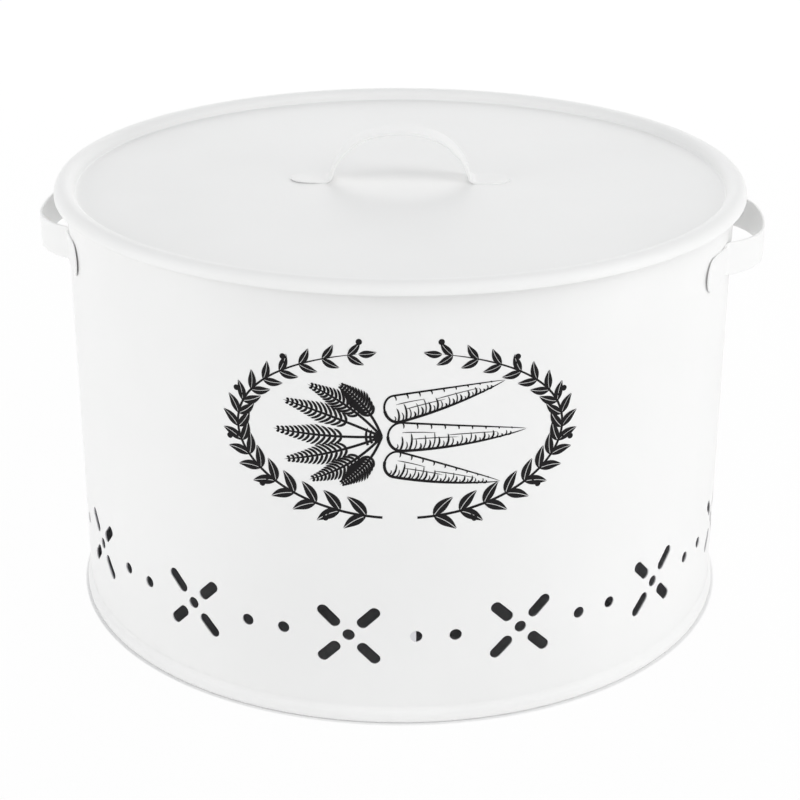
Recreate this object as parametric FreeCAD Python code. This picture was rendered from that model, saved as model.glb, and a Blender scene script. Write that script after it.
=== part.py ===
"""Round sheet-metal vegetable bin with a loose lid, in millimetres.

The bin stands on z = 0 with its axis on Z. The side handles lie on the X axis and the front faces -Y.
Angles round the bin are degrees from the front, growing towards +X.
"""
import FreeCAD, Part
import math
import os

from FreeCAD import Vector

# Body
BODY_DIAMETER = 250.0    # outside of the wall
BODY_HEIGHT = 163.4      # floor to the top of the rolled rim, without the lid
WALL_SHEET = 0.5
CURL_RADIUS = 1.6        # outside radius of the rolled rim
LAP_WIDTH = 8.0          # overlap of the wall's lap seam, inside
SEAM_ANGLE = 6.8         # where the lap ends

# Base
BASE_SHEET = 0.5
SEAM_HEIGHT = 4.5        # double seam at the foot of the wall
SEAM_ROUND = 0.7         # bend of the seam's outer folds, at mid sheet
HOOK_GAP = 0.4           # room past the end of each hook in the seam
BASE_RAISE = 5.0         # floor to the underside of the base panel
BASE_BEND = 1.6

# Vents
CROSS_COUNT = 13
VENT_HEIGHT = 34.2       # centre of the row above the floor
SLOT_LENGTH = 9.8
SLOT_WIDTH = 4.15
SLOT_REACH = 9.8         # centre of a cross to the centre of each of its slots
SLOT_TILT = 45.0
DOT_DIAMETER = 4.3
DOT_SPACING = 13.7       # between the two dots of a pair, along the wall

# Lid
LID_SHEET = 0.6
BEAD_RADIUS = 3.8        # outside radius of the half-round rim
LIP_CLEARANCE = 1.1      # rolled rim to the inside of the lid's lip
LIP_DROP = 0.3           # straight part of the lip under the half round
PANEL_RECESS = 4.2       # top of the rim down to the panel
PANEL_BEND = 1.0         # bend between the panel and the rim, at mid sheet
SEAT_GAP = 0.3           # lid to rolled rim at rest

# Straps. A grip is a flat crown that goes on into two tighter shoulders; radii are at mid sheet
STRAP_SHEET = 0.8
STRAP_WIDTH = 12.5
HEM_WIDTH = 3.2          # folded edge on the inside of a grip

# Side handles
SIDE_DROP = 20.6         # top of the rolled rim down to the middle of the strap
SIDE_REACH = 12.0        # wall to the outside of the grip
SIDE_CROWN_RADIUS = 90.0
SIDE_CROWN_SPAN = 24.0
SIDE_SHOULDER_RADIUS = 28.0
SIDE_BEND = 4.0          # between a shoulder and its foot
SIDE_WELD_SPAN = 86.0    # between the welds; past them the flat feet stand off the round wall
SIDE_FOOT_SPAN = 114.0   # tip to tip

# Lid handle
TOP_RISE = 19.6          # panel to the top of the grip
TOP_CROWN_RADIUS = 42.5
TOP_CROWN_SPAN = 20.0
TOP_SHOULDER_RADIUS = 22.0
TOP_BEND = 2.5           # between a shoulder and its foot
TOP_FOOT_SPAN = 83.0     # tip to tip
TOP_TURN = 3.6           # how the loose lid lies, turned from the side handles

AXIS = Vector(0, 0, 1)
ORIGIN = Vector(0, 0, 0)
TOUCH = 1e-6

WALL_OUT = BODY_DIAMETER / 2
WALL_IN = WALL_OUT - WALL_SHEET
WALL_MID = WALL_OUT - WALL_SHEET / 2

CURL_MID = CURL_RADIUS - WALL_SHEET / 2
CURL_CENTRE_R = WALL_IN + CURL_RADIUS
CURL_CENTRE_Z = BODY_HEIGHT - CURL_RADIUS

BEAD_MID = BEAD_RADIUS - LID_SHEET / 2
BEAD_CENTRE_R = CURL_CENTRE_R + CURL_RADIUS + LIP_CLEARANCE + LID_SHEET - BEAD_RADIUS
SEAT_DISTANCE = BEAD_RADIUS - LID_SHEET - CURL_RADIUS - SEAT_GAP
SEAT_OFFSET = CURL_CENTRE_R - BEAD_CENTRE_R
BEAD_CENTRE_Z = CURL_CENTRE_Z - math.sqrt(SEAT_DISTANCE ** 2 - SEAT_OFFSET ** 2)
PANEL_TOP = BEAD_CENTRE_Z + BEAD_RADIUS - PANEL_RECESS


def in_section(u, v):
    """A point of a section: u is across (or the radius), v is up."""
    return Vector(u, 0, v)


def polar(centre, radius, angle):
    """Point of a section at an angle in degrees about a centre (u, v)."""
    turn = math.radians(angle)
    return centre[0] + radius * math.cos(turn), centre[1] + radius * math.sin(turn)


def arc_edge(centre, radius, start, end):
    """Arc of a section from one angle to another, in degrees."""
    ends = [in_section(*polar(centre, radius, a)) for a in (start, (start + end) / 2, end)]
    return Part.Arc(*ends).toShape()


def line_edge(a, b):
    return Part.makeLine(in_section(*a), in_section(*b))


def section_face(edges):
    return Part.Face(Part.Wire(Part.__sortEdges__(edges)))


def sheet_sides(path, half):
    """Edges of one side of a bent sheet, half a sheet to the left of its mid line.

    The path is a list of corners (u, v, bend radius at mid sheet). Gives the edges and the side's two ends.
    """
    starts = []
    ends = []
    arcs = []
    for i, (u, v, bend) in enumerate(path):
        here = Vector(u, v, 0)
        before = (here - Vector(*path[i - 1][:2], 0)) if i > 0 else None
        after = (Vector(*path[i + 1][:2], 0) - here) if i + 1 < len(path) else None
        into = (before or after).normalize()
        out = (after or before).normalize()
        left_in = Vector(-into.y, into.x, 0)
        left_out = Vector(-out.y, out.x, 0)
        turn = math.atan2(into.cross(out).z, into.dot(out))
        trim = bend * math.tan(abs(turn) / 2)
        first = here - into * trim + left_in * half
        last = here + out * trim + left_out * half
        starts.append(first)
        ends.append(last)
        side_bend = bend - half * math.copysign(1, turn)
        if bend and side_bend > TOUCH:
            centre = here - into * trim + left_in * math.copysign(bend, turn)
            middle = (first + last) / 2 - centre
            arcs.append((first, centre + middle.normalize() * side_bend, last))
        else:
            arcs.append(None)
    edges = []
    for i in range(len(path)):
        if arcs[i]:
            edges.append(Part.Arc(*[in_section(p.x, p.y) for p in arcs[i]]).toShape())
        if i + 1 < len(path) and (starts[i + 1] - ends[i]).Length > TOUCH:
            edges.append(line_edge((ends[i].x, ends[i].y), (starts[i + 1].x, starts[i + 1].y)))
    return edges, (starts[0].x, starts[0].y), (ends[-1].x, ends[-1].y)


def bent_sheet(path, thickness):
    """Section of a bent sheet of even thickness along its mid line."""
    left, left_start, left_end = sheet_sides(path, thickness / 2)
    right, right_start, right_end = sheet_sides(path, -thickness / 2)
    caps = [line_edge(left_start, right_start), line_edge(left_end, right_end)]
    return section_face(left + right + caps)


def spun(face):
    return face.revolve(ORIGIN, AXIS, 360)


def at_angle(shape, angle):
    """Copy of a shape made at the front, turned round the bin."""
    turned = shape.copy()
    turned.rotate(ORIGIN, AXIS, angle)
    return turned


def along_wall(length):
    """Angle that a length along the wall takes up."""
    return math.degrees(length / WALL_OUT)


def slot_face(length, width):
    """Round-ended slot lying flat in the section plane, centred on the origin."""
    straight = (length - width) / 2
    radius = width / 2
    if straight < TOUCH:
        return Part.Face(Part.Wire(Part.makeCircle(radius, ORIGIN, Vector(0, 1, 0))))
    edges = [
        arc_edge((straight, 0), radius, -90, 90),
        arc_edge((-straight, 0), radius, 90, 270),
        line_edge((-straight, radius), (straight, radius)),
        line_edge((-straight, -radius), (straight, -radius)),
    ]
    return section_face(edges)


def punch(face, across=0.0, up=0.0):
    """Punch through the wall at the front, offset from the middle of the vent row."""
    depth = 2 * (WALL_OUT - WALL_IN) + CURL_RADIUS
    tool = face.extrude(Vector(0, depth, 0))
    tool.translate(Vector(across, -WALL_OUT - depth / 2, VENT_HEIGHT + up))
    return tool


def vent_punches():
    """All punches of the vent row: crosses of four slots and a dot, with two dots between crosses."""
    pitch = 360.0 / CROSS_COUNT
    dot = slot_face(DOT_DIAMETER, DOT_DIAMETER)
    cross = [punch(dot)]
    for arm in range(4):
        tilt = SLOT_TILT + 90 * arm
        slot = slot_face(SLOT_LENGTH, SLOT_WIDTH)
        slot.rotate(ORIGIN, Vector(0, -1, 0), tilt)
        across, up = polar((0, 0), SLOT_REACH, tilt)
        cross.append(punch(slot, across, up))
    half_pair = along_wall(DOT_SPACING) / 2
    punches = []
    for step in range(CROSS_COUNT):
        middle = SEAM_ANGLE + half_pair + step * pitch
        punches += [at_angle(tool, middle + pitch / 2) for tool in cross]
        punches += [at_angle(punch(dot), middle + side * half_pair) for side in (-1, 1)]
    return punches


def wall():
    """Rolled wall: hooked flange at the foot, curled rim at the top, vents and the inside lap."""
    hook_mid = WALL_OUT + BASE_SHEET + WALL_SHEET / 2
    flange_z = BASE_SHEET + WALL_SHEET / 2
    hook_top = SEAM_HEIGHT - BASE_SHEET - HOOK_GAP
    fold = WALL_SHEET / 2
    curl_out = CURL_CENTRE_R + CURL_MID
    path = [
        (hook_mid, hook_top, 0),
        (hook_mid, flange_z, fold),
        (WALL_MID, flange_z, fold),
        (WALL_MID, CURL_CENTRE_Z + CURL_MID, CURL_MID),
        (curl_out, CURL_CENTRE_Z + CURL_MID, CURL_MID),
        (curl_out, CURL_CENTRE_Z - CURL_MID, CURL_MID),
        (CURL_CENTRE_R - CURL_MID / 4, CURL_CENTRE_Z - CURL_MID, 0),
    ]
    shell = spun(bent_sheet(path, WALL_SHEET)).cut(vent_punches())
    lap_foot = BASE_RAISE + BASE_SHEET + HOOK_GAP
    lap_height = CURL_CENTRE_Z - lap_foot
    lap_angle = along_wall(LAP_WIDTH)
    lap_in = Part.makeCylinder(WALL_IN - WALL_SHEET, lap_height, Vector(0, 0, lap_foot), AXIS, lap_angle)
    lap = Part.makeCylinder(WALL_IN, lap_height, Vector(0, 0, lap_foot), AXIS, lap_angle).cut(lap_in)
    lap.rotate(ORIGIN, AXIS, SEAM_ANGLE - 90 - lap_angle)
    return shell.fuse(lap).removeSplitter()


def base_plate():
    """Pressed base: raised panel, then the sheet folded under, up and in round the wall's hook."""
    fold = BASE_SHEET / 2
    chuck_mid = WALL_IN - BASE_SHEET / 2
    cover_mid = WALL_OUT + BASE_SHEET / 2
    outer_mid = WALL_OUT + BASE_SHEET + WALL_SHEET + BASE_SHEET / 2
    panel_mid = BASE_RAISE + BASE_SHEET / 2
    cover_foot = BASE_SHEET + WALL_SHEET + HOOK_GAP
    path = [
        (0, panel_mid, 0),
        (chuck_mid, panel_mid, BASE_BEND),
        (chuck_mid, fold, fold),
        (outer_mid, fold, SEAM_ROUND),
        (outer_mid, SEAM_HEIGHT - fold, fold),
        (cover_mid, SEAM_HEIGHT - fold, fold),
        (cover_mid, cover_foot, 0),
    ]
    return spun(bent_sheet(path, BASE_SHEET))


def lid():
    """Pressed lid: flat panel, bend up, half-round rim and a short straight lip."""
    panel_mid = PANEL_TOP - LID_SHEET / 2
    bead_centre = (BEAD_CENTRE_R, BEAD_CENTRE_Z)
    bend_v = panel_mid + PANEL_BEND
    reach = BEAD_MID + PANEL_BEND
    bend_u = BEAD_CENTRE_R - math.sqrt(reach ** 2 - (bend_v - BEAD_CENTRE_Z) ** 2)
    lean = math.degrees(math.atan2(bend_v - BEAD_CENTRE_Z, bend_u - BEAD_CENTRE_R))
    lip_foot = BEAD_CENTRE_Z - LIP_DROP
    edges = []
    ends = []
    for side in (1, -1):
        bead = BEAD_MID + side * LID_SHEET / 2
        bend = PANEL_BEND - side * LID_SHEET / 2
        panel = panel_mid + side * LID_SHEET / 2
        edges += [
            line_edge((0, panel), (bend_u, panel)),
            arc_edge((bend_u, bend_v), bend, -90, lean - 180),
            arc_edge(bead_centre, bead, lean, 0),
            line_edge((BEAD_CENTRE_R + bead, BEAD_CENTRE_Z), (BEAD_CENTRE_R + bead, lip_foot)),
        ]
        ends.append(((0, panel), (BEAD_CENTRE_R + bead, lip_foot)))
    edges += [line_edge(ends[0][i], ends[1][i]) for i in range(2)]
    return spun(section_face(edges))


def grip_section():
    """Cross section of a grip: web outside, both edges folded back on the inside.

    u is inwards from the outside of the web, v is across the strap.
    """
    half = STRAP_WIDTH / 2
    flat = half - STRAP_SHEET
    inner = half - HEM_WIDTH
    deep = 2 * STRAP_SHEET
    edges = [line_edge((0, -flat), (0, flat)), line_edge((STRAP_SHEET, -inner), (STRAP_SHEET, inner))]
    for side in (1, -1):
        edges.append(arc_edge((STRAP_SHEET, side * flat), STRAP_SHEET, 180, 180 - side * 180))
        edges.append(line_edge((deep, side * flat), (deep, side * inner)))
        edges.append(line_edge((deep, side * inner), (STRAP_SHEET, side * inner)))
    return section_face(edges)


def band(centre, radius, start, end):
    """Piece of strap along an arc about a centre (x, y), between two angles in degrees, z from 0 up."""
    outer = radius + STRAP_SHEET / 2
    inner = radius - STRAP_SHEET / 2
    base = Vector(centre[0], centre[1], 0)
    low, high = sorted((start, end))
    ring = Part.makeCylinder(outer, STRAP_WIDTH, base, AXIS, high - low)
    ring = ring.cut(Part.makeCylinder(inner, STRAP_WIDTH, base, AXIS, high - low))
    ring.rotate(base, AXIS, low)
    return ring


def hemmed(centre, radius, start, end):
    """Hemmed strap along an arc about a centre (x, y), between two angles in degrees from +X, z from 0 up."""
    base = Vector(centre[0], centre[1], 0)
    face = grip_section()
    face.rotate(ORIGIN, AXIS, 180)
    face.translate(base + Vector(radius + STRAP_SHEET / 2, 0, STRAP_WIDTH / 2))
    face.rotate(base, AXIS, start)
    return face.revolve(base, AXIS, end - start)


def shoulder_start(top_x, crown_radius, crown_span, shoulder_radius):
    """Angle in degrees where a grip's crown goes on into its shoulder, and the shoulder's centre (x, y)."""
    turn = math.asin(crown_span / 2 / crown_radius)
    inwards = crown_radius - shoulder_radius
    centre_x = top_x - crown_radius
    return math.degrees(turn), (centre_x + inwards * math.cos(turn), inwards * math.sin(turn))


def mirrored(shape):
    return shape.mirror(ORIGIN, Vector(0, 1, 0))


def stadium(length, width):
    """Outline that rounds the feet, as a prism along X, centred on Y and on the strap's width."""
    face = slot_face(length, width)
    face.rotate(ORIGIN, AXIS, 90)
    reach = BODY_DIAMETER + SIDE_REACH
    prism = face.extrude(Vector(reach, 0, 0))
    prism.translate(Vector(0, 0, width / 2))
    return prism


def strap(crown, half, foot_span):
    """Join a strap's crown with the pieces of its two halves and round its feet."""
    whole = crown.fuse(half + [mirrored(piece) for piece in half]).removeSplitter()
    return whole.common(stadium(foot_span, STRAP_WIDTH)).removeSplitter()


def side_handle():
    """Loop on the +X side of the wall. Its flat feet touch the wall along their welds."""
    top_x = WALL_OUT + SIDE_REACH - STRAP_SHEET / 2
    crown_angle, centre = shoulder_start(top_x, SIDE_CROWN_RADIUS, SIDE_CROWN_SPAN, SIDE_SHOULDER_RADIUS)
    foot_radius = WALL_OUT + STRAP_SHEET / 2
    weld = math.asin(SIDE_WELD_SPAN / 2 / WALL_OUT)
    weld_angle = math.degrees(weld)
    along = Vector(-math.sin(weld), math.cos(weld), 0)
    start = Vector(math.cos(weld), math.sin(weld), 0) * (foot_radius + SIDE_BEND)
    offset = start - Vector(*centre, 0)
    lean = offset.dot(along)
    reach = SIDE_SHOULDER_RADIUS + SIDE_BEND
    bend_step = math.sqrt(lean ** 2 - offset.dot(offset) + reach ** 2) - lean
    middle = start + along * bend_step
    leg_angle = math.degrees(math.atan2(middle.y - centre[1], middle.x - centre[0]))
    tip_step = (SIDE_FOOT_SPAN / 2 - foot_radius * math.sin(weld)) / math.cos(weld) + STRAP_SHEET
    foot = Part.makeBox(STRAP_SHEET, tip_step - bend_step, STRAP_WIDTH, Vector(WALL_OUT, bend_step, 0))
    foot.rotate(ORIGIN, AXIS, weld_angle)
    crown = hemmed((top_x - SIDE_CROWN_RADIUS, 0), SIDE_CROWN_RADIUS, -crown_angle, crown_angle)
    half = [
        hemmed(centre, SIDE_SHOULDER_RADIUS, crown_angle, leg_angle),
        band((middle.x, middle.y), SIDE_BEND, 180 + weld_angle, 180 + leg_angle),
        foot,
    ]
    loop = strap(crown, half, SIDE_FOOT_SPAN)
    loop.translate(Vector(0, 0, BODY_HEIGHT - SIDE_DROP - STRAP_WIDTH / 2))
    return loop


def lid_handle():
    """Arch on the panel, made lying on its side and then stood up along X."""
    top_x = TOP_RISE - STRAP_SHEET / 2
    crown_angle, centre = shoulder_start(top_x, TOP_CROWN_RADIUS, TOP_CROWN_SPAN, TOP_SHOULDER_RADIUS)
    bend_x = STRAP_SHEET / 2 + TOP_BEND
    reach = TOP_SHOULDER_RADIUS + TOP_BEND
    bend_y = centre[1] + math.sqrt(reach ** 2 - (bend_x - centre[0]) ** 2)
    leg_angle = math.degrees(math.atan2(bend_y - centre[1], bend_x - centre[0]))
    crown = hemmed((top_x - TOP_CROWN_RADIUS, 0), TOP_CROWN_RADIUS, -crown_angle, crown_angle)
    half = [
        hemmed(centre, TOP_SHOULDER_RADIUS, crown_angle, leg_angle),
        band((bend_x, bend_y), TOP_BEND, 180, 180 + leg_angle),
        Part.makeBox(STRAP_SHEET, TOP_FOOT_SPAN / 2 - bend_y, STRAP_WIDTH, Vector(0, bend_y, 0)),
    ]
    arch = strap(crown, half, TOP_FOOT_SPAN)
    arch.translate(Vector(0, 0, -STRAP_WIDTH / 2))
    arch.rotate(ORIGIN, Vector(0, 1, 0), -90)
    arch.rotate(ORIGIN, AXIS, 90 + TOP_TURN)
    arch.translate(Vector(0, 0, PANEL_TOP))
    return arch


def main():
    os.makedirs("parts", exist_ok=True)
    right = side_handle()
    nodes = {
        "wall": wall(),
        "base_plate": base_plate(),
        "left_handle": at_angle(right, 180),
        "right_handle": right,
        "lid": lid(),
        "lid_handle": lid_handle(),
    }
    for name, shape in nodes.items():
        if not shape.isValid() or len(shape.Solids) != 1:
            raise ValueError(name + " is not one sound solid")
        shape.Solids[0].exportStep("parts/" + name + ".step")
        print(name, round(shape.Volume, 1))


main()
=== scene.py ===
import math

import bmesh
import bpy
from bpy.props import FloatProperty, FloatVectorProperty, IntProperty, PointerProperty
from mathutils import Matrix, Vector


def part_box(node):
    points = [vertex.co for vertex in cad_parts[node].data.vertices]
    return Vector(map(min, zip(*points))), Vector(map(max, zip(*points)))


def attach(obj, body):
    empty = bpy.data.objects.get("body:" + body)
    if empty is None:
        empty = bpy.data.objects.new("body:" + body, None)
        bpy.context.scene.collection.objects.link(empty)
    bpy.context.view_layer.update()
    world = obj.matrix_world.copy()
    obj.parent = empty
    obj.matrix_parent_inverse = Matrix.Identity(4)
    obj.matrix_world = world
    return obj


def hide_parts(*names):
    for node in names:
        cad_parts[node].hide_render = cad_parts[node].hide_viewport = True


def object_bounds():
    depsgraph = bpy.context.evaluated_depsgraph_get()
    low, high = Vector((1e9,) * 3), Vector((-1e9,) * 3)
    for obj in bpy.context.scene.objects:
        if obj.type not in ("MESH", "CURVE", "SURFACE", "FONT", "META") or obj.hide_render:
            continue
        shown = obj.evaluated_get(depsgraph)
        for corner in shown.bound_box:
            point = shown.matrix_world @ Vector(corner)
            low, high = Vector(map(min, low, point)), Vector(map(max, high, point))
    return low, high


bl_info = {
    "name": "Vented Kitchen Bin",
    "version": (1, 0, 0),
    "blender": (4, 5, 0),
    "location": "3D View > Sidebar > Bin",
    "description": "Dresses the sheet-metal bin: white powder coat, straps, print and a bright studio",
    "category": "Object",
}

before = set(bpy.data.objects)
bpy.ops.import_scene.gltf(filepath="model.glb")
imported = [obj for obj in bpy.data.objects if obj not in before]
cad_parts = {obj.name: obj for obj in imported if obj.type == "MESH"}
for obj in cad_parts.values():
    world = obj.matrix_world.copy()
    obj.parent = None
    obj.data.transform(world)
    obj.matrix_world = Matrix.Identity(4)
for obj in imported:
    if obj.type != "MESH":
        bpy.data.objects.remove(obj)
CAD_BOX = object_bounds()

LID_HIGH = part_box("lid")[1]
SEAM_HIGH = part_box("base_plate")[1]
LOOP_LOW, LOOP_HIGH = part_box("right_handle")
ARCH_LOW, ARCH_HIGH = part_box("lid_handle")
PANEL_TOP = ARCH_LOW.z
STRAP_WIDTH = LOOP_HIGH.z - LOOP_LOW.z

MERGE = 1e-6
HALF_TURN = math.pi
QUARTER_TURN = math.pi / 2
SHARP = math.radians(50)

# Faces along the roundings of the sections
BEND_STEPS = 8
EDGE_STEPS = 6
EASE_STEPS = 5
TIP_STEPS = 12
LID_BEND_STEPS = 10
BEAD_STEPS = 24
BEAD_INSIDE_STEPS = 20

# Powder coat: scales of noise are per metre
NOISE_LOW, NOISE_HIGH = 0.3, 0.7
DRIFT_SCALE, DRIFT = 14.0, 0.015
PEEL_SCALE, PEEL_SATIN = 620.0, 0.05
GRAIN_SCALE, GRAIN_SHARE = 2600.0, 0.3
PEEL_STRENGTH, PEEL_DEPTH = 0.12, 0.0001

# Screen-print ink
MOTTLE_SCALE, MOTTLE_LIGHT = 900.0, 2.4
INK_SATIN_LOW, INK_SATIN_HIGH = 0.5, 0.7
INK_SPECULAR = 0.15

# Widths of the pen strokes in the print, metres
PEN_BROAD = 0.0009
PEN_DARK_EDGE, PEN_EDGE = 0.0010, 0.0007
PEN_HATCHES = (0.00045, 0.0007)
PEN_NICK, PEN_FINE = 0.0005, 0.0003
PEN_BERRY, PEN_LEAFLET = 0.0004, 0.00095

# Carrots as (turn in degrees, length, girth) and fronds as (turn in degrees, length, sag)
CARROTS = ((13, 0.041, 0.0098), (0, 0.047, 0.0104), (-13, 0.04, 0.0096))
FRONDS = (
    (128, 0.023, -0.002), (145, 0.03, -0.002), (162, 0.035, -0.001), (180, 0.037, 0.0006),
    (198, 0.035, 0.001), (215, 0.03, 0.002), (232, 0.023, 0.002),
)

# Lamps as degrees round from the camera towards +X, and degrees up from the floor
LAMPS = {"front": (0, 14), "left": (-72, 14), "right": (68, 14), "high": (55, 48), "back": (180, 20)}
FLOOR_SIZE = 40.0
FLOOR_COLOUR = (0.9, 0.9, 0.9, 1)
FLOOR_ROUGHNESS = 0.9
SENSOR_WIDTH = 36.0


class BinBody(bpy.types.PropertyGroup):
    """Sizes of the wall and its foot"""
    wall_radius: FloatProperty(
        name="Wall radius", description="Outside of the wall", unit="LENGTH", default=0.125)
    sheet: FloatProperty(
        name="Sheet", description="Thickness of the wall and base sheet", unit="LENGTH", default=0.0005)
    panel_height: FloatProperty(
        name="Base panel", description="Floor to the underside of the base panel", unit="LENGTH",
        default=0.005)
    panel_bend: FloatProperty(
        name="Base bend", description="Bend at the base panel's edge, mid sheet", unit="LENGTH",
        default=0.0016)
    seam_top: FloatProperty(
        name="Seam top", description="Floor to where the seam's paint fillet meets the wall", unit="LENGTH",
        default=0.0064)
    seam_slope: FloatProperty(
        name="Seam slope", description="Steepest lean of the paint fillet from the wall", subtype="ANGLE",
        default=math.radians(35))
    seam_fillet: FloatProperty(
        name="Seam fillet", description="Hollow of paint between the wall and the seam", unit="LENGTH",
        default=0.0036)
    seam_foot: FloatProperty(
        name="Seam foot", description="Rounding of the seam where it stands on the floor", unit="LENGTH",
        default=0.0011)
    hook_gap: FloatProperty(
        name="Hook gap", description="Room past the end of the base's hook in the seam", unit="LENGTH",
        default=0.0004)
    hook_top: FloatProperty(
        name="Hook top", description="Floor to the top of the room for the wall's hook in the seam",
        unit="LENGTH", default=0.00362)
    paint: FloatProperty(
        name="Paint", description="Clearance between faces that the paint joins", unit="LENGTH",
        default=0.00002)
    steps: IntProperty(
        name="Steps", description="Faces round the bin", min=32, default=288)


class BinLid(bpy.types.PropertyGroup):
    """Sizes of the pressed lid"""
    sheet: FloatProperty(
        name="Sheet", description="Thickness of the lid's sheet", unit="LENGTH", default=0.0006)
    bead_radius: FloatProperty(
        name="Bead radius", description="Outside radius of the half-round rim", unit="LENGTH",
        default=0.0038)
    panel_bend: FloatProperty(
        name="Panel bend", description="Bend between panel and rim, mid sheet", unit="LENGTH",
        default=0.001)
    lip_drop: FloatProperty(
        name="Lip drop", description="Straight part of the lip under the half round", unit="LENGTH",
        default=0.0003)


class BinStraps(bpy.types.PropertyGroup):
    """Sizes of the strap handles"""
    sheet: FloatProperty(
        name="Sheet", description="Thickness of the strap at its feet", unit="LENGTH", default=0.0005)
    hem_width: FloatProperty(
        name="Hem width", description="Edge folded back on the inside of a grip", unit="LENGTH",
        default=0.0032)
    edge_round: FloatProperty(
        name="Edge round", description="Rounding of a folded edge on the outside", unit="LENGTH",
        default=0.0005)
    edge_ease: FloatProperty(
        name="Edge ease", description="Rounding of a folded edge on the inside", unit="LENGTH",
        default=0.0004)
    hollow: FloatProperty(
        name="Hollow", description="How far the paint leaves the inside of a grip hollow between its hems",
        unit="LENGTH", default=0.0001)
    station: FloatProperty(
        name="Station", description="Distance between sections along a strap", unit="LENGTH",
        default=0.0005)
    arch_crown: FloatProperty(
        name="Lid crown radius", description="Middle of the lid handle's grip, mid sheet", unit="LENGTH",
        default=0.0425)
    arch_crown_span: FloatProperty(
        name="Lid crown span", description="Width of the lid handle's crown", unit="LENGTH", default=0.02)
    arch_shoulder: FloatProperty(
        name="Lid shoulder radius", description="Sides of the lid handle's grip, mid sheet", unit="LENGTH",
        default=0.022)
    arch_bend: FloatProperty(
        name="Lid bend", description="Bend between the lid handle's grip and foot, mid sheet",
        unit="LENGTH", default=0.0025)
    arch_turn: FloatProperty(
        name="Lid turn", description="How the lid lies, turned from the side handles", subtype="ANGLE",
        default=math.radians(3.6))
    arch_lift: FloatProperty(
        name="Lid foot lift", description="How far the lid handle's left foot stands off at its tip",
        unit="LENGTH", default=0.0003)
    loop_crown: FloatProperty(
        name="Side crown radius", description="Middle of a side handle's grip, mid sheet", unit="LENGTH",
        default=0.09)
    loop_crown_span: FloatProperty(
        name="Side crown span", description="Width of a side handle's crown", unit="LENGTH", default=0.024)
    loop_shoulder: FloatProperty(
        name="Side shoulder radius", description="Sides of a side handle's grip, mid sheet", unit="LENGTH",
        default=0.028)
    loop_bend: FloatProperty(
        name="Side bend", description="Bend between a side handle's grip and foot, mid sheet",
        unit="LENGTH", default=0.004)
    loop_weld_span: FloatProperty(
        name="Side weld span", description="Between the welds of a side handle", unit="LENGTH",
        default=0.086)
    loop_follow: FloatProperty(
        name="Side foot follow", description="Share of the wall's curve in a foot past its weld",
        subtype="FACTOR", min=0.0, max=1.0, default=0.28)


class BinPrint(bpy.types.PropertyGroup):
    """Place and size of the printed wreath"""
    half_width: FloatProperty(
        name="Half width", description="Wreath's stem, centre to side", unit="LENGTH", default=0.056)
    half_height: FloatProperty(
        name="Half height", description="Wreath's stem, centre to top", unit="LENGTH", default=0.0298)
    centre_height: FloatProperty(
        name="Centre height", description="Floor to the middle of the wreath", unit="LENGTH",
        default=0.1095)
    turn: FloatProperty(
        name="Turn", description="Middle of the wreath, round the wall from the front", subtype="ANGLE",
        default=math.radians(4.2))
    ink: FloatProperty(
        name="Ink", description="Thickness of the ink", unit="LENGTH", default=0.00004)
    colour: FloatVectorProperty(
        name="Ink colour", description="Black of the print", subtype="COLOR", size=3,
        min=0.0, max=1.0, default=(0.006, 0.0055, 0.006))


class BinCoat(bpy.types.PropertyGroup):
    """Finish of the white powder coat"""
    colour: FloatVectorProperty(
        name="Coat colour", description="White of the powder coat", subtype="COLOR", size=3,
        min=0.0, max=1.0, default=(0.88, 0.88, 0.875))
    # Inside colour is painted shade: darker and bluer than the outside coat, so the inside seen through the
    # vents looks shaded
    inside: FloatVectorProperty(
        name="Inside colour", description="Painted shade inside the bin", subtype="COLOR", size=3,
        min=0.0, max=1.0, default=(0.74, 0.74, 0.76))
    roughness: FloatProperty(
        name="Roughness", description="Satin of the coat", subtype="FACTOR",
        min=0.0, max=1.0, default=0.38)


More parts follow.
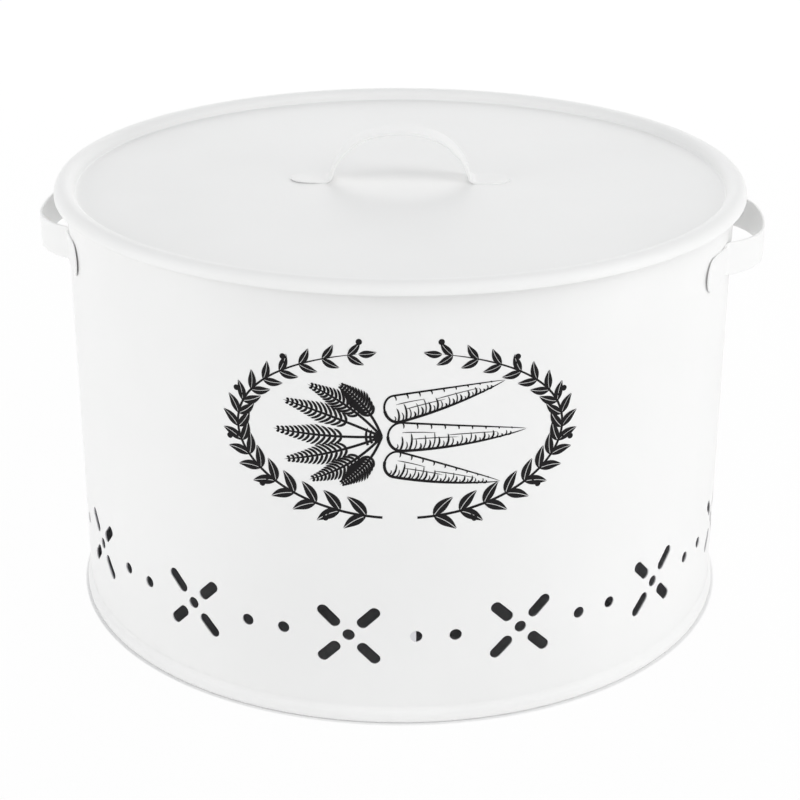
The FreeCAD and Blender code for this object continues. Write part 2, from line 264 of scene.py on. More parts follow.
class BinStudio(bpy.types.PropertyGroup):
    """Camera and light of the studio"""
    camera_reach: FloatProperty(
        name="Camera reach", description="Bin's axis to the camera, along the floor",
        unit="LENGTH", min=0.1, default=0.6902)
    camera_height: FloatProperty(
        name="Camera height", description="Floor to the camera", unit="LENGTH", min=0.0, default=0.3641)
    camera_turn: FloatProperty(
        name="Camera turn", description="How far the camera stands round to the right of the front",
        subtype="ANGLE", default=math.radians(4.18))
    camera_pitch: FloatProperty(
        name="Camera pitch", description="How far the camera looks down", subtype="ANGLE",
        default=math.radians(23.13))
    camera_roll: FloatProperty(
        name="Camera roll", description="Turn of the camera about its own axis", subtype="ANGLE",
        default=math.radians(0.1))
    lens: FloatProperty(
        name="Lens", description="Focal length on a 36 mm sensor", subtype="DISTANCE_CAMERA", min=1.0,
        default=85.0)
    sky: FloatProperty(
        name="Sky", description="Strength of the even light all round", min=0.0, default=0.54)
    sky_colour: FloatVectorProperty(
        name="Sky colour", description="Tint of the even light", subtype="COLOR", size=3,
        min=0.0, max=1.0, default=(0.97, 0.985, 1.0))
    front: FloatProperty(
        name="Front lamp", description="Power of the lamp in front", subtype="POWER", min=0.0,
        default=2.5)
    left: FloatProperty(
        name="Left lamp", description="Power of the lamp at the left", subtype="POWER", min=0.0,
        default=6.8)
    right: FloatProperty(
        name="Right lamp", description="Power of the lamp at the right", subtype="POWER", min=0.0,
        default=5.4)
    high: FloatProperty(
        name="High lamp", description="Power of the lamp high at the right", subtype="POWER", min=0.0,
        default=3.6)
    back: FloatProperty(
        name="Back lamp", description="Power of the lamp behind", subtype="POWER", min=0.0,
        default=10.6)
    lamp_colour: FloatVectorProperty(
        name="Lamp colour", description="Tint of the lamps", subtype="COLOR", size=3,
        min=0.0, max=1.0, default=(1.0, 0.99, 0.98))
    lamp_reach: FloatProperty(
        name="Lamp reach", description="Bin's axis to each lamp", unit="LENGTH", default=1.5)
    lamp_size: FloatProperty(
        name="Lamp size", description="Side of each square lamp", unit="LENGTH", default=0.9)
    floor_glow: FloatProperty(
        name="Floor glow", description="Share of plain white in the floor as the camera sees it",
        subtype="FACTOR", min=0.0, max=1.0, default=0.95)
    contact: FloatProperty(
        name="Contact", description="Width of the floor's shaded ring round the foot", unit="LENGTH",
        min=0.0, default=0.0013)


class Outline:
    """Outline drawn in the XZ plane, one line or arc after another."""

    def __init__(self, x, z):
        self.bm = bmesh.new()
        self.tip = self.bm.verts.new((x, 0, z))

    def line(self, x, z):
        self.tip = bmesh.ops.extrude_vert_indiv(self.bm, verts=[self.tip])["verts"][0]
        self.tip.co = (x, 0, z)
        return self

    def arc(self, x, z, turn, steps):
        """Turn about a centre, counter-clockwise when the turn is positive."""
        done = bmesh.ops.spin(
            self.bm, geom=[self.tip], cent=(x, 0, z), axis=(0, -1, 0), angle=turn, steps=steps)
        self.tip = next(part for part in done["geom_last"] if isinstance(part, bmesh.types.BMVert))
        return self

    def spun(self, steps):
        """Spin the outline about the bin's axis and close its seam and poles."""
        bmesh.ops.spin(
            self.bm, geom=self.bm.verts[:] + self.bm.edges[:], cent=(0, 0, 0), axis=(0, 0, 1),
            angle=2 * HALF_TURN, steps=steps, use_merge=True)
        return closed(self.bm)


def share(value):
    """Value kept between 0 and 1."""
    return min(max(value, 0), 1)


def ahead_at(angle):
    """Step of one along an angle."""
    return Vector((math.cos(angle), math.sin(angle)))


def closed(bm):
    """Merge doubled points, drop what they flatten and turn the faces outwards."""
    bmesh.ops.remove_doubles(bm, verts=bm.verts[:], dist=MERGE)
    bmesh.ops.dissolve_degenerate(bm, edges=bm.edges[:], dist=MERGE)
    bmesh.ops.recalc_face_normals(bm, faces=bm.faces[:])
    return bm


def add_piece(name, bm, material, body, node=None):
    """Turn a bmesh into a smooth piece that rides on a body and may stand for a CAD node."""
    mesh = bpy.data.meshes.new(name)
    bm.to_mesh(mesh)
    bm.free()
    mesh.materials.append(material)
    mesh.shade_smooth()
    mesh.set_sharp_from_angle(angle=SHARP)
    piece = bpy.data.objects.new(name, mesh)
    bpy.context.scene.collection.objects.link(piece)
    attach(piece, body)
    if node:
        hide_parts(node)
    return piece


def coat_group():
    """Shared powder coat: tone drift, satin that varies, a fine orange peel, and painted shade inside the
    bin.
    """
    name = "powder_coat"
    if name in bpy.data.node_groups:
        return bpy.data.node_groups[name]
    group = bpy.data.node_groups.new(name, "ShaderNodeTree")
    for label, way, kind in (
            ("Position", "INPUT", "Vector"), ("Outside", "INPUT", "Color"), ("Inside", "INPUT", "Color"),
            ("Roughness", "INPUT", "Float"), ("Colour", "OUTPUT", "Color"),
            ("Roughness", "OUTPUT", "Float"), ("Peel", "OUTPUT", "Float")):
        group.interface.new_socket(label, in_out=way, socket_type="NodeSocket" + kind)
    nodes, link = group.nodes, group.links.new
    given = nodes.new("NodeGroupInput")
    result = nodes.new("NodeGroupOutput")

    def noise(scale, detail):
        node = nodes.new("ShaderNodeTexNoise")
        node.inputs["Scale"].default_value = scale
        node.inputs["Detail"].default_value = detail
        link(given.outputs["Position"], node.inputs["Vector"])
        return node.outputs["Fac"]

    def ranged(value, low, high):
        node = nodes.new("ShaderNodeMapRange")
        node.inputs["From Min"].default_value = NOISE_LOW
        node.inputs["From Max"].default_value = NOISE_HIGH
        node.inputs["To Min"].default_value = low
        node.inputs["To Max"].default_value = high
        link(value, node.inputs["Value"])
        return node.outputs["Result"]

    def math_node(operation, *values):
        node = nodes.new("ShaderNodeMath")
        node.operation = operation
        for socket, value in zip(node.inputs, values):
            if isinstance(value, float):
                socket.default_value = value
            else:
                link(value, socket)
        return node.outputs[0]

    body = bpy.context.scene.bin_body
    across = nodes.new("ShaderNodeVectorMath")
    across.operation = "MULTIPLY"
    across.inputs[1].default_value = (1, 1, 0)
    link(given.outputs["Position"], across.inputs[0])
    radius = nodes.new("ShaderNodeVectorMath")
    radius.operation = "LENGTH"
    link(across.outputs[0], radius.inputs[0])
    up = nodes.new("ShaderNodeSeparateXYZ")
    link(given.outputs["Position"], up.inputs[0])
    # Mask of the bin's inside, where the coat takes the inside colour as painted shade
    within = math_node("LESS_THAN", radius.outputs["Value"], body.wall_radius - body.sheet / 2)
    above = math_node("GREATER_THAN", up.outputs["Z"], body.panel_height + body.sheet / 2)
    below = math_node("LESS_THAN", up.outputs["Z"], PANEL_TOP - body.sheet / 2)
    painted_shade_inside = math_node("MULTIPLY", math_node("MULTIPLY", within, above), below)
    coat = nodes.new("ShaderNodeMix")
    coat.data_type = "RGBA"
    link(painted_shade_inside, coat.inputs["Factor"])
    link(given.outputs["Outside"], coat.inputs["A"])
    link(given.outputs["Inside"], coat.inputs["B"])
    drift = nodes.new("ShaderNodeVectorMath")
    drift.operation = "SCALE"
    link(coat.outputs["Result"], drift.inputs[0])
    link(ranged(noise(DRIFT_SCALE, 2.0), 1 - DRIFT, 1 + DRIFT), drift.inputs["Scale"])
    link(drift.outputs[0], result.inputs["Colour"])
    peel = noise(PEEL_SCALE, 2.0)
    satin = ranged(peel, -PEEL_SATIN, PEEL_SATIN)
    link(math_node("ADD", given.outputs["Roughness"], satin), result.inputs["Roughness"])
    grain = math_node("MULTIPLY", noise(GRAIN_SCALE, 1.0), GRAIN_SHARE)
    link(math_node("ADD", peel, grain), result.inputs["Peel"])
    return group


def coat_material(slot):
    """Powder coat for one material slot of the bin, apart from the plain one of the frame."""
    name = slot + "_powder"
    if name in bpy.data.materials:
        return bpy.data.materials[name]
    coat = bpy.context.scene.bin_coat
    material = bpy.data.materials.new(name)
    material.use_nodes = True
    nodes, link = material.node_tree.nodes, material.node_tree.links.new
    shader = nodes["Principled BSDF"]
    place = nodes.new("ShaderNodeTexCoord")
    finish = nodes.new("ShaderNodeGroup")
    finish.node_tree = coat_group()
    finish.inputs["Outside"].default_value = (*coat.colour, 1)
    # The inside colour is painted shade inside the bin, not a different coat
    finish.inputs["Inside"].default_value = (*coat.inside, 1)
    finish.inputs["Roughness"].default_value = coat.roughness
    link(place.outputs["Object"], finish.inputs["Position"])
    link(finish.outputs["Colour"], shader.inputs["Base Color"])
    link(finish.outputs["Roughness"], shader.inputs["Roughness"])
    bump = nodes.new("ShaderNodeBump")
    bump.inputs["Strength"].default_value = PEEL_STRENGTH
    bump.inputs["Distance"].default_value = PEEL_DEPTH
    link(finish.outputs["Peel"], bump.inputs["Height"])
    link(bump.outputs["Normal"], shader.inputs["Normal"])
    return material


def ink_material():
    """Black screen-print ink, a little uneven."""
    colour = bpy.context.scene.bin_print.colour
    material = bpy.data.materials.new("print_ink")
    material.use_nodes = True
    nodes, link = material.node_tree.nodes, material.node_tree.links.new
    shader = nodes["Principled BSDF"]
    place = nodes.new("ShaderNodeTexCoord")
    mottle = nodes.new("ShaderNodeTexNoise")
    mottle.inputs["Scale"].default_value = MOTTLE_SCALE
    mottle.inputs["Detail"].default_value = 3.0
    link(place.outputs["Object"], mottle.inputs["Vector"])
    tone = nodes.new("ShaderNodeMix")
    tone.data_type = "RGBA"
    tone.inputs["A"].default_value = (*colour, 1)
    tone.inputs["B"].default_value = (*(MOTTLE_LIGHT * channel for channel in colour), 1)
    link(mottle.outputs["Fac"], tone.inputs["Factor"])
    link(tone.outputs["Result"], shader.inputs["Base Color"])
    shader.inputs["Specular IOR Level"].default_value = INK_SPECULAR
    satin = nodes.new("ShaderNodeMapRange")
    satin.inputs["To Min"].default_value = INK_SATIN_LOW
    satin.inputs["To Max"].default_value = INK_SATIN_HIGH
    link(mottle.outputs["Fac"], satin.inputs["Value"])
    link(satin.outputs["Result"], shader.inputs["Roughness"])
    return material


class KITCHENBIN_OT_wall(bpy.types.Operator):
    """Coat the rolled wall"""
    bl_idname = "kitchenbin.wall"
    bl_label = "Coat Wall"

    def execute(self, context):
        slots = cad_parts["wall"].data.materials
        slots.clear()
        slots.append(coat_material("body_coat"))
        return {"FINISHED"}


class KITCHENBIN_OT_base(bpy.types.Operator):
    """Spin the base with its seam hooked round the foot of the wall"""
    bl_idname = "kitchenbin.base"
    bl_label = "Make Base"

    def execute(self, context):
        body = context.scene.bin_body
        sheet, bend, gap = body.sheet, body.panel_bend, body.paint
        panel = body.panel_height
        chuck = body.wall_radius - 2 * sheet
        cover = body.wall_radius + gap
        outer = SEAM_HIGH.x
        slope = body.seam_slope
        crown = (outer - cover) / (1 - math.cos(slope)) - body.seam_fillet
        seam_drop = (body.seam_fillet + crown) * math.sin(slope)
        foot = body.seam_foot
        hook_foot = 2 * sheet + body.hook_gap
        support = chuck - bend - 2 * sheet
        bend_x, bend_z = chuck + sheet / 2 - bend, panel + sheet / 2 - bend
        top = Outline(0, panel + sheet)
        top.line(support, panel + sheet).line(bend_x, panel + sheet)
        top.arc(bend_x, bend_z, -QUARTER_TURN, BEND_STEPS)
        top.line(chuck + sheet - gap, sheet + gap).line(outer - sheet, sheet + gap)
        top.line(outer - sheet, body.hook_top).line(cover + sheet, body.hook_top)
        top.line(cover + sheet, hook_foot).line(cover, hook_foot)
        top.line(cover, body.seam_top)
        top.arc(cover + body.seam_fillet, body.seam_top, slope, BEND_STEPS)
        top.arc(outer - crown, body.seam_top - seam_drop, -slope, BEND_STEPS)
        top.line(outer, foot)
        top.arc(outer - foot, foot, -QUARTER_TURN, BEND_STEPS)
        top.line(chuck + foot, 0)
        top.arc(chuck + foot, foot, -QUARTER_TURN, EDGE_STEPS)
        top.line(chuck, bend_z)
        top.arc(bend_x, bend_z, QUARTER_TURN, BEND_STEPS)
        top.line(support, panel).line(0, panel)
        add_piece("seamed_base", top.spun(body.steps), coat_material("body_coat"), "bin", "base_plate")
        return {"FINISHED"}


class KITCHENBIN_OT_lid(bpy.types.Operator):
    """Spin the lid: panel, bend, half-round bead and lip"""
    bl_idname = "kitchenbin.lid"
    bl_label = "Make Lid"

    def execute(self, context):
        lid = context.scene.bin_lid
        half = lid.sheet / 2
        bead_x = LID_HIGH.x - lid.bead_radius
        bead_z = LID_HIGH.z - lid.bead_radius
        bend_z = PANEL_TOP - half + lid.panel_bend
        reach = lid.bead_radius - half + lid.panel_bend
        bend_x = bead_x - math.sqrt(reach ** 2 - (bend_z - bead_z) ** 2)
        lean = math.atan2(bend_z - bead_z, bend_x - bead_x)
        lip_foot = bead_z - lid.lip_drop
        support = bend_x - lid.panel_bend
        top = Outline(0, PANEL_TOP)
        top.line(support, PANEL_TOP).line(bend_x, PANEL_TOP)
        top.arc(bend_x, bend_z, lean - QUARTER_TURN, LID_BEND_STEPS)
        top.arc(bead_x, bead_z, -lean, BEAD_STEPS)
        top.line(LID_HIGH.x, lip_foot)
        top.arc(LID_HIGH.x - half, lip_foot, -HALF_TURN, EDGE_STEPS)
        top.line(LID_HIGH.x - lid.sheet, bead_z)
        top.arc(bead_x, bead_z, lean, BEAD_INSIDE_STEPS)
        top.arc(bend_x, bend_z, QUARTER_TURN - lean, BEND_STEPS)
        top.line(support, PANEL_TOP - lid.sheet).line(0, PANEL_TOP - lid.sheet)
        steps = context.scene.bin_body.steps
        add_piece("pressed_lid", top.spun(steps), coat_material("lid_coat"), "lid", "lid")
        return {"FINISHED"}


def shoulder_start(top, crown, crown_span, shoulder):
    """Turn at which a grip's crown goes on into its shoulder, and the shoulder's centre (along, up)."""
    turn = math.asin(crown_span / 2 / crown)
    inwards = crown - shoulder
    return turn, Vector((inwards * math.sin(turn), top - crown + inwards * math.cos(turn)))


def walked(path, distance):
    """Point and heading at a distance along a path of (length, curvature), mirrored about its start."""
    point = Vector((0, 0))
    heading = 0.0
    left = abs(distance)
    for length, curvature in path:
        step = min(left, length)
        turned = heading + step * curvature
        if curvature:
            point += Vector((math.sin(turned) - math.sin(heading),
                             math.cos(heading) - math.cos(turned))) / curvature
        else:
            point += step * ahead_at(heading)
        heading = turned
        left -= step
    side = math.copysign(1, distance)
    return Vector((side * point.x, point.y)), side * heading


def strap_section(straps):
    """Closed section of a grip in the XZ plane: flat on top, edges folded back and painted over below."""
    thick, ease = 2 * straps.sheet, straps.edge_ease
    edge = STRAP_WIDTH / 2
    flat = edge - straps.edge_round
    inner = edge - straps.hem_width
    half = Outline(0, 0)
    half.line(inner, 0).line(flat, 0).arc(flat, -straps.edge_round, -QUARTER_TURN, EDGE_STEPS)
    half.line(edge, ease - thick).arc(edge - ease, ease - thick, -QUARTER_TURN, EASE_STEPS)
    half.line(inner, -thick).line(inner / 2, straps.hollow - thick).line(0, straps.hollow - thick)
    bmesh.ops.mirror(half.bm, geom=half.bm.verts[:] + half.bm.edges[:], matrix=Matrix(), merge_dist=MERGE,
                     axis="X")
    return half.bm


def strap_mesh(straps, path, place, wrap=0.0):
    """Extrude a hemmed strap, flatten its feet, round their tips and bend it along a path.

    The path runs from the middle of the grip to the tip of a foot, and place sets it in the bin.
    Along wrap, the length of a foot that lies on the wall, paint fills the foot's edges.
    """
    lengths = [piece[0] for piece in path]
    grip = lengths[0] + lengths[1]
    bend = lengths[2]
    reach = sum(lengths)
    half_width = STRAP_WIDTH / 2
    tip_start = reach - half_width
    stations = [i * straps.station for i in range(int(tip_start / straps.station))]
    stations += [
        tip_start + half_width * math.sin(QUARTER_TURN * i / TIP_STEPS) for i in range(TIP_STEPS + 1)]
    stations = [-s for s in reversed(stations[1:])] + stations

    def filled(past_bend):
        """Share of paint in the edge of a foot, feathered over a quarter of the wrap at each end."""
        if not wrap:
            return 0
        along_wrap = past_bend / wrap
        return share(min(4 * along_wrap, 4 - 4 * along_wrap))

    bm = strap_section(straps)
    bmesh.ops.translate(bm, verts=bm.verts[:], vec=(0, stations[0], 0))
    edges = bm.edges[:]
    for here, there in zip(stations, stations[1:]):
        done = bmesh.ops.extrude_edge_only(bm, edges=edges)["geom"]
        edges = [part for part in done if isinstance(part, bmesh.types.BMEdge)]
        verts = [part for part in done if isinstance(part, bmesh.types.BMVert)]
        bmesh.ops.translate(bm, verts=verts, vec=(0, there - here, 0))
    for vert in bm.verts:
        across, along, depth = vert.co
        past_grip = share((abs(along) - grip) / bend)
        hem = 1 - past_grip ** 2 * (3 - 2 * past_grip)
        flat = max(depth, -straps.sheet)
        depth = flat + (depth - flat) * hem
        if abs(across) > half_width - straps.edge_round + MERGE:
            depth += (-straps.sheet - depth) * filled(abs(along) - grip - bend)
        past_tip = share((abs(along) - tip_start) / half_width)
        across *= math.sqrt(1 - past_tip ** 2)
        point, heading = walked(path, along)
        depth += straps.sheet / 2
        vert.co = place @ Vector((
            point.x - depth * math.sin(heading), across, point.y + depth * math.cos(heading)))
    return closed(bm)


class KITCHENBIN_OT_lid_handle(bpy.types.Operator):
    """Bend the hemmed arch on the lid"""
    bl_idname = "kitchenbin.lid_handle"
    bl_label = "Make Lid Handle"

    def execute(self, context):
        straps = context.scene.bin_straps
        half = straps.sheet / 2
        half_width = STRAP_WIDTH / 2
        top = ARCH_HIGH.z - PANEL_TOP - half
        turn, centre = shoulder_start(top, straps.arch_crown, straps.arch_crown_span, straps.arch_shoulder)
        drop = half + straps.arch_bend - centre.y
        bend_x = centre.x + math.sqrt((straps.arch_shoulder + straps.arch_bend) ** 2 - drop ** 2)
        leg = math.atan2(bend_x - centre.x, drop)
        foot = (ARCH_HIGH.x - half_width) / math.cos(straps.arch_turn) + half_width - bend_x
        path = [
            (straps.arch_crown * turn, -1 / straps.arch_crown),
            (straps.arch_shoulder * (leg - turn), -1 / straps.arch_shoulder),
            (straps.arch_bend * leg, 1 / straps.arch_bend),
            (foot, 0.0),
        ]
        bm = strap_mesh(straps, path, Matrix.Translation((0, 0, PANEL_TOP + top)))
        for vert in bm.verts:
            past_bend = share((-vert.co.x - bend_x) / foot)
            vert.co.z += straps.arch_lift * math.sin(past_bend * QUARTER_TURN)
        bmesh.ops.rotate(bm, verts=bm.verts[:], matrix=Matrix.Rotation(straps.arch_turn, 3, "Z"))
        add_piece("lid_strap", bm, coat_material("handle_coat"), "lid", "lid_handle")
        return {"FINISHED"}


class KITCHENBIN_OT_side_handles(bpy.types.Operator):
    """Bend the two hemmed loops at the sides"""
    bl_idname = "kitchenbin.side_handles"
    bl_label = "Make Side Handles"

    def execute(self, context):
        straps = context.scene.bin_straps
        body = context.scene.bin_body
        half = straps.sheet / 2
        foot_radius = body.wall_radius + body.paint + half
        top = LOOP_HIGH.x - half
        turn, centre = shoulder_start(top, straps.loop_crown, straps.loop_crown_span, straps.loop_shoulder)
        from_axis = foot_radius + straps.loop_bend
        from_shoulder = straps.loop_shoulder + straps.loop_bend
        rise = (from_axis ** 2 - from_shoulder ** 2 + centre.length_squared) / (2 * centre.length)
        outwards = centre.normalized()
        aside = Vector((outwards.y, -outwards.x))
        bend_centre = outwards * rise + aside * math.sqrt(from_axis ** 2 - rise ** 2)
        leg = math.atan2(bend_centre.x - centre.x, bend_centre.y - centre.y)
        landing = math.atan2(bend_centre.x, bend_centre.y)
        weld = math.asin(straps.loop_weld_span / 2 / body.wall_radius)
        wrap = foot_radius * (weld - landing)
        tip = (LOOP_HIGH.y - foot_radius * math.sin(weld)) / math.cos(weld)
        path = [
            (straps.loop_crown * turn, -1 / straps.loop_crown),
            (straps.loop_shoulder * (leg - turn), -1 / straps.loop_shoulder),
            (straps.loop_bend * (leg - landing), 1 / straps.loop_bend),
            (wrap, -1 / foot_radius),
            (tip, -straps.loop_follow / foot_radius),
        ]
        middle = (LOOP_LOW.z + LOOP_HIGH.z) / 2
        upright = Matrix(((0, 0, 1, top), (1, 0, 0, 0), (0, 1, 0, middle), (0, 0, 0, 1)))
        sides = (("strap_right", "right_handle", 0), ("strap_left", "left_handle", HALF_TURN))
        for name, node, round_by in sides:
            bm = strap_mesh(straps, path, Matrix.Rotation(round_by, 4, "Z") @ upright, wrap)
            add_piece(name, bm, coat_material("handle_coat"), "bin", node)
        return {"FINISHED"}


def brush(bm, curve, left, right, segments):
    """Ink along a curve of 0 to 1: left and right give how far the ink reaches to each side."""
    verts = bmesh.ops.create_grid(bm, x_segments=segments, y_segments=1, size=0.5)["verts"]
    nudge = 1e-3
    for vert in verts:
        t = vert.co.x + 0.5
        here = curve(t)
        ahead = (curve(t + nudge) - curve(t - nudge)).normalized()
        reach = left(t) if vert.co.y > 0 else -right(t)
        vert.co = (here.x - ahead.y * reach, 0, here.y + ahead.x * reach)


def stroke(bm, curve, width, segments, start=1.0):
    """Tapered pen stroke: its width swells from a share at the start and runs out at the end."""
    swell = 6

    def half(t):
        return width / 2 * (start + (1 - start) * min(1, swell * t)) * math.sqrt(max(0, 1 - t ** 3))

    brush(bm, curve, half, half, segments)


def course(curve, t):
    """Way that a curve runs at t, as a short step and as an angle."""
    nudge = 0.01
    step = curve(t + nudge) - curve(t - nudge)
    return step, math.atan2(step.y, step.x)


def bow(start, end, sag):
    """Curve from start to end that swings out to the left by sag in the middle."""
    side = Vector((start.y - end.y, end.x - start.x)).normalized() * sag
    return lambda t: start.lerp(end, t) + side * 4 * t * (1 - t)


def leaf(bm, root, angle, length, width):
    """Printed leaf of two halves with a bare midrib between them."""
    curl, belly, segments = 0.06, 0.8, 10
    rib = bow(root, root + length * ahead_at(angle), curl * length)
    vein = 0.035 * width

    def edge(t):
        return width / 2 * math.sin(HALF_TURN * share(t) ** belly) + vein

    def midrib(t):
        return -vein

    brush(bm, rib, edge, midrib, segments)
    brush(bm, rib, midrib, edge, segments)


def dot(bm, place, radius):
    """Printed round dot."""
    turned = Matrix.Translation((place.x, 0, place.y)) @ Matrix.Rotation(QUARTER_TURN, 4, "X")
    bmesh.ops.create_circle(bm, cap_ends=True, segments=16, radius=radius, matrix=turned)


def wreath_branch(bm, wide, high):
    """Right-hand branch of the wreath, from the foot up to the top."""
    low, top = math.radians(-84), math.radians(76)
    pairs, spread, shrink = 17, math.radians(40), 0.35
    leaf_length, leaf_width = 0.0094, 0.0036
    end_length, end_width = 0.006, 0.0024
    berry_every, berry_reach, berry_radius, stalk_sag = 3, 0.0042, 0.00105, 0.0003
    first_pair, end_start = 0.6, 0.98

    def stem(t):
        turn = low + (top - low) * t
        return Vector((wide * math.cos(turn), high * math.sin(turn)))

    stroke(bm, stem, PEN_BROAD, 60)
    for i in range(pairs):
        t = (i + first_pair) / pairs
        ahead, heading = course(stem, t)
        size = 1 - shrink * t
        for side in (-1, 1):
            leaf(bm, stem(t), heading + side * spread, leaf_length * size, leaf_width * size)
        if i % berry_every == 1:
            out = Vector((ahead.y, -ahead.x)).normalized()
            berry = stem(t + 0.5 / pairs) + berry_reach * out
            stroke(bm, bow(stem(t + 0.25 / pairs), berry, stalk_sag), PEN_BERRY, 4)
            dot(bm, berry, berry_radius)
    leaf(bm, stem(1), math.atan2(*reversed(stem(1) - stem(end_start))), end_length, end_width)


def carrot(bm, crown, angle, length, girth):
    """Carrot in outline with shading strokes, pointing away from its crown."""
    ahead = ahead_at(angle)
    side = Vector((-ahead.y, ahead.x))
    shoulder_end, taper, point, crowding = 0.1, 1.5, 0.9, 1.6
    rings, first_ring, ring_span, ring_slant = 26, 0.05, 0.84, 0.015
    ring_shortest, ring_longer, golden = 0.22, 0.5, 0.618
    nick_every, nick_start, nick_end, nick_depth = 3, 0.02, 0.026, 0.58
    ring_sag, nick_sag, crease_sag = -0.0006, 0.0003, 0.0002
    creases = ((-0.16, 0.16, 0.5), (0.3, 0.1, 0.34), (0.06, 0.42, 0.78))

    def half(a):
        shoulder = math.sqrt(max(0, 1 - max(0, 1 - a / shoulder_end) ** 2))
        return girth / 2 * shoulder * (1 - max(a, 0) ** taper) ** point

    def at(a, across):
        return crown + ahead * (a * length) + side * across

    for flank, pen in ((1, PEN_EDGE), (-1, PEN_DARK_EDGE)):
        def edge(t, flank=flank):
            a = share(t) ** crowding
            return at(a, flank * half(a))

        stroke(bm, edge, pen, 48)
    for i in range(rings):
        a = first_ring + ring_span * i / rings
        reach = ring_shortest + ring_longer * ((i * golden) % 1)
        low = at(a, -half(a))
        high = at(a + ring_slant, -half(a) + 2 * half(a) * reach)
        stroke(bm, bow(low, high, ring_sag), PEN_HATCHES[i % 2], 8)
        if i % nick_every == 1:
            nick = half(a + nick_start)
            low = at(a + nick_start, nick)
            high = at(a + nick_end, nick * nick_depth)
            stroke(bm, bow(low, high, nick_sag), PEN_NICK, 6)
    for across, first, last in creases:
        low = at(first, across * girth / 2)
        high = at(last, across * half(last))
        stroke(bm, bow(low, high, crease_sag), PEN_FINE, 10, 0.3)


def frond(bm, crown, angle, length, sag):
    """Feathery carrot top: a stalk with paired leaflets that shorten towards its tip."""
    pairs, bare, spread = 13, 0.36, 0.8
    leaflet, leaflet_sag, shrink = 0.0054, 0.0005, 0.6
    stalk = bow(crown, crown + length * ahead_at(angle), sag)
    stroke(bm, stalk, PEN_BROAD, 20)
    for i in range(pairs):
        t = bare + (1 - bare) * i / pairs
        here = stalk(t)
        _, heading = course(stalk, t)
        size = leaflet * (1 - shrink * abs(2 * (i / pairs) - 0.5))
        for side in (-1, 1):
            tip = here + size * ahead_at(heading + side * spread)
            stroke(bm, bow(here, tip, side * leaflet_sag), PEN_LEAFLET, 7, 0.3)


class KITCHENBIN_OT_print(bpy.types.Operator):
    """Print the wreath and its bunch of carrots on the wall"""
    bl_idname = "kitchenbin.print"
    bl_label = "Print Wreath"

    def execute(self, context):
        ink = context.scene.bin_print
        body = context.scene.bin_body
        bm = bmesh.new()
        wreath_branch(bm, ink.half_width, ink.half_height)
        bmesh.ops.mirror(bm, geom=bm.verts[:] + bm.edges[:] + bm.faces[:], matrix=Matrix(),
                         merge_dist=-1, axis="X")
        crown = Vector((-0.008, 0.0))
        fan, carrot_gap, frond_gap = 0.0405, 0.004, 0.002
        ties, tie_start, tie_reach = (0.0008, 0.0022, 0.0036), 0.001, 0.0014
        tie_flare, tie_sag = 0.5, 0.0006
        for turn, length, girth in CARROTS:
            angle = math.radians(turn)
            root = crown + fan * (ahead_at(angle) - ahead_at(0)) + Vector((carrot_gap, 0))
            carrot(bm, root, angle, length, girth)
        for turn, length, sag in FRONDS:
            frond(bm, crown + Vector((frond_gap, 0)), math.radians(turn), length, sag)
        for back in ties:
            reach = Vector((0, tie_reach + tie_flare * back))
            knot = crown - Vector((back - tie_start, 0))
            stroke(bm, bow(knot - reach, knot + reach, tie_sag), PEN_BROAD, 8)
        wrap_print(bm, body.wall_radius + body.paint, ink)
        add_piece("wall_print", bm, ink_material(), "bin")
        return {"FINISHED"}


def wrap_print(bm, radius, ink):
    """Bend a flat print round the wall and give the ink its thickness."""
    bmesh.ops.remove_doubles(bm, verts=bm.verts[:], dist=MERGE)
    bmesh.ops.dissolve_degenerate(bm, edges=bm.edges[:], dist=MERGE)
    low = min(vert.co.x for vert in bm.verts)
    high = max(vert.co.x for vert in bm.verts)
    strip = 0.002
    for i in range(1, math.ceil((high - low) / strip)):
        bmesh.ops.bisect_plane(
            bm, geom=bm.verts[:] + bm.edges[:] + bm.faces[:], plane_co=(low + i * strip, 0, 0),
            plane_no=(1, 0, 0))
    for face in bm.faces:
        if face.normal.y > 0:
            face.normal_flip()
    for vert in bm.verts:
        turn = vert.co.x / radius + ink.turn
        vert.co = (radius * math.sin(turn), -radius * math.cos(turn), vert.co.z + ink.centre_height)
    bm.normal_update()
    bmesh.ops.solidify(bm, geom=bm.faces[:], thickness=-ink.ink)
    bmesh.ops.recalc_face_normals(bm, faces=bm.faces[:])


def seen_directly(tree):
    """1 where a camera, glossy or transmission ray meets the surface."""
    light_path = tree.nodes.new("ShaderNodeLightPath")
    seen = light_path.outputs["Is Camera Ray"]
    for ray in ("Is Glossy Ray", "Is Transmission Ray"):
        either = tree.nodes.new("ShaderNodeMath")
        either.operation = "MAXIMUM"
        tree.links.new(seen, either.inputs[0])
        tree.links.new(light_path.outputs[ray], either.inputs[1])
        seen = either.outputs[0]
    return seen


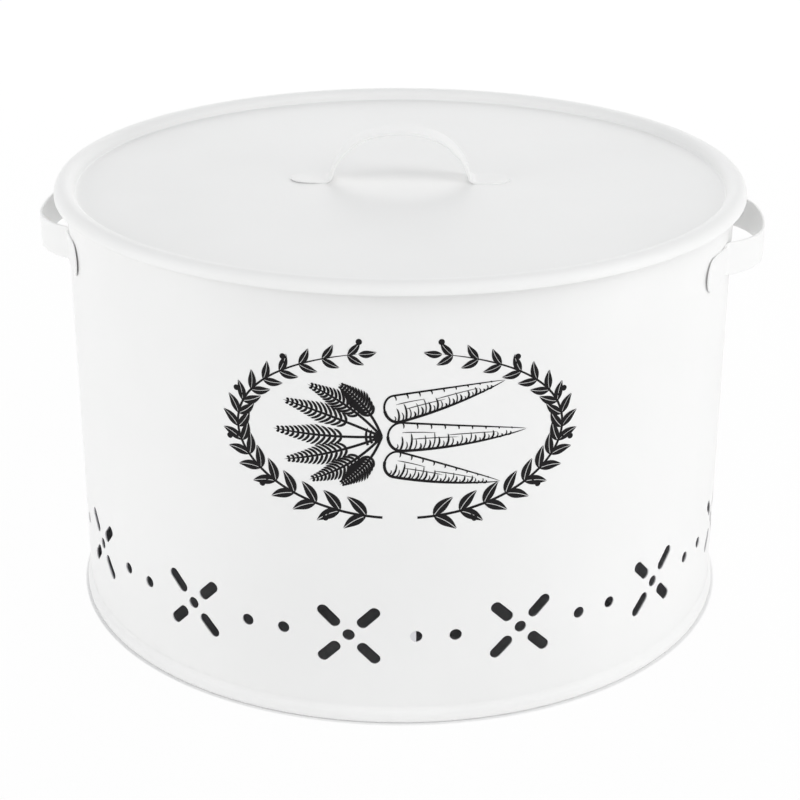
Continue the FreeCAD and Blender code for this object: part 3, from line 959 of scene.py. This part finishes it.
def floor_material(glow_share, contact):
    """Pale floor: mostly plain white where it is seen, down to its own shade close to the bin's foot."""
    material = bpy.data.materials.new("studio_floor")
    material.use_nodes = True
    tree = material.node_tree
    shader = tree.nodes["Principled BSDF"]
    shader.inputs["Base Color"].default_value = FLOOR_COLOUR
    shader.inputs["Roughness"].default_value = FLOOR_ROUGHNESS
    glow = tree.nodes.new("ShaderNodeEmission")
    mix = tree.nodes.new("ShaderNodeMixShader")
    share = tree.nodes.new("ShaderNodeMath")
    share.operation = "MULTIPLY"
    tree.links.new(seen_directly(tree), share.inputs[0])
    place = tree.nodes.new("ShaderNodeTexCoord")
    away = tree.nodes.new("ShaderNodeVectorMath")
    away.operation = "LENGTH"
    tree.links.new(place.outputs["Object"], away.inputs[0])
    clear = tree.nodes.new("ShaderNodeMapRange")
    clear.interpolation_type = "SMOOTHSTEP"
    clear.inputs["From Min"].default_value = SEAM_HIGH.x + contact / 2
    clear.inputs["From Max"].default_value = SEAM_HIGH.x + contact
    clear.inputs["To Max"].default_value = glow_share
    tree.links.new(away.outputs["Value"], clear.inputs["Value"])
    tree.links.new(clear.outputs["Result"], share.inputs[1])
    tree.links.new(share.outputs[0], mix.inputs[0])
    tree.links.new(shader.outputs[0], mix.inputs[1])
    tree.links.new(glow.outputs[0], mix.inputs[2])
    tree.links.new(mix.outputs[0], tree.nodes["Material Output"].inputs["Surface"])
    return material


def white_world(strength, colour):
    """Even tinted light all round that looks plain white where it is seen."""
    world = bpy.data.worlds.new("studio_sky")
    world.use_nodes = True
    tree = world.node_tree
    tint = tree.nodes.new("ShaderNodeMix")
    tint.data_type = "RGBA"
    tint.inputs["A"].default_value = (*(strength * channel for channel in colour), 1)
    tint.inputs["B"].default_value = (1, 1, 1, 1)
    tree.links.new(seen_directly(tree), tint.inputs["Factor"])
    tree.links.new(tint.outputs["Result"], tree.nodes["Background"].inputs["Color"])
    bpy.context.scene.world = world


def soft_lamp(name, turn, lift, power):
    """Square lamp facing the bin; turn is from the camera towards +X, lift is up from the floor."""
    studio = bpy.context.scene.bin_studio
    lamp = bpy.data.objects.new(name, bpy.data.lights.new(name, "AREA"))
    lamp.data.size = studio.lamp_size
    lamp.data.energy = power
    lamp.data.color = studio.lamp_colour
    middle = Vector((0, 0, CAD_BOX[1][2] / 2))
    outwards = Vector((0, -math.cos(lift), math.sin(lift)))
    outwards.rotate(Matrix.Rotation(studio.camera_turn + turn, 3, "Z"))
    facing = outwards.to_track_quat("Z", "Y").to_matrix().to_4x4()
    lamp.matrix_world = Matrix.Translation(middle + studio.lamp_reach * outwards) @ facing
    lamp.visible_camera = False
    lamp.visible_glossy = False
    bpy.context.scene.collection.objects.link(lamp)


class KITCHENBIN_OT_studio(bpy.types.Operator):
    """Set the floor, the light and the camera"""
    bl_idname = "kitchenbin.studio"
    bl_label = "Set Studio"

    def execute(self, context):
        studio = context.scene.bin_studio
        context.scene.view_settings.view_transform = "Standard"
        bpy.ops.mesh.primitive_plane_add(size=FLOOR_SIZE)
        floor = context.object
        floor.name = "floor"
        floor.data.materials.append(floor_material(studio.floor_glow, studio.contact))
        white_world(studio.sky, studio.sky_colour)
        for side, (turn, lift) in LAMPS.items():
            soft_lamp("lamp_" + side, math.radians(turn), math.radians(lift), getattr(studio, side))
        camera = bpy.data.objects.new("camera", bpy.data.cameras.new("camera"))
        context.scene.collection.objects.link(camera)
        camera.data.lens = studio.lens
        camera.data.sensor_width = SENSOR_WIDTH
        stand = Matrix.Rotation(studio.camera_turn, 4, "Z")
        place = Matrix.Translation((0, -studio.camera_reach, studio.camera_height))
        tilt = Matrix.Rotation(QUARTER_TURN - studio.camera_pitch, 4, "X")
        roll = Matrix.Rotation(studio.camera_roll, 4, "Z")
        camera.matrix_world = stand @ place @ tilt @ roll
        context.scene.camera = camera
        return {"FINISHED"}


STEPS = (
    KITCHENBIN_OT_wall, KITCHENBIN_OT_base, KITCHENBIN_OT_side_handles, KITCHENBIN_OT_lid,
    KITCHENBIN_OT_lid_handle, KITCHENBIN_OT_print, KITCHENBIN_OT_studio,
)


class KITCHENBIN_PT_panel(bpy.types.Panel):
    """Lists the steps of the bin"""
    bl_idname = "KITCHENBIN_PT_panel"
    bl_label = "Kitchen Bin"
    bl_space_type = "VIEW_3D"
    bl_region_type = "UI"
    bl_category = "Bin"

    def draw(self, context):
        for step in STEPS:
            self.layout.operator(step.bl_idname)


SETTINGS = {
    "bin_body": BinBody, "bin_lid": BinLid, "bin_straps": BinStraps, "bin_print": BinPrint,
    "bin_coat": BinCoat, "bin_studio": BinStudio,
}
CLASSES = (*SETTINGS.values(), *STEPS, KITCHENBIN_PT_panel)


def register():
    for cls in CLASSES:
        bpy.utils.register_class(cls)
    for name, group in SETTINGS.items():
        setattr(bpy.types.Scene, name, PointerProperty(type=group))


def unregister():
    for name in SETTINGS:
        delattr(bpy.types.Scene, name)
    for cls in reversed(CLASSES):
        bpy.utils.unregister_class(cls)


def main():
    register()
    bpy.ops.kitchenbin.wall()
    bpy.ops.kitchenbin.base()
    bpy.ops.kitchenbin.side_handles()
    bpy.ops.kitchenbin.lid()
    bpy.ops.kitchenbin.lid_handle()
    bpy.ops.kitchenbin.print()
    bpy.ops.kitchenbin.studio()


if __name__ == "__main__":
    main()
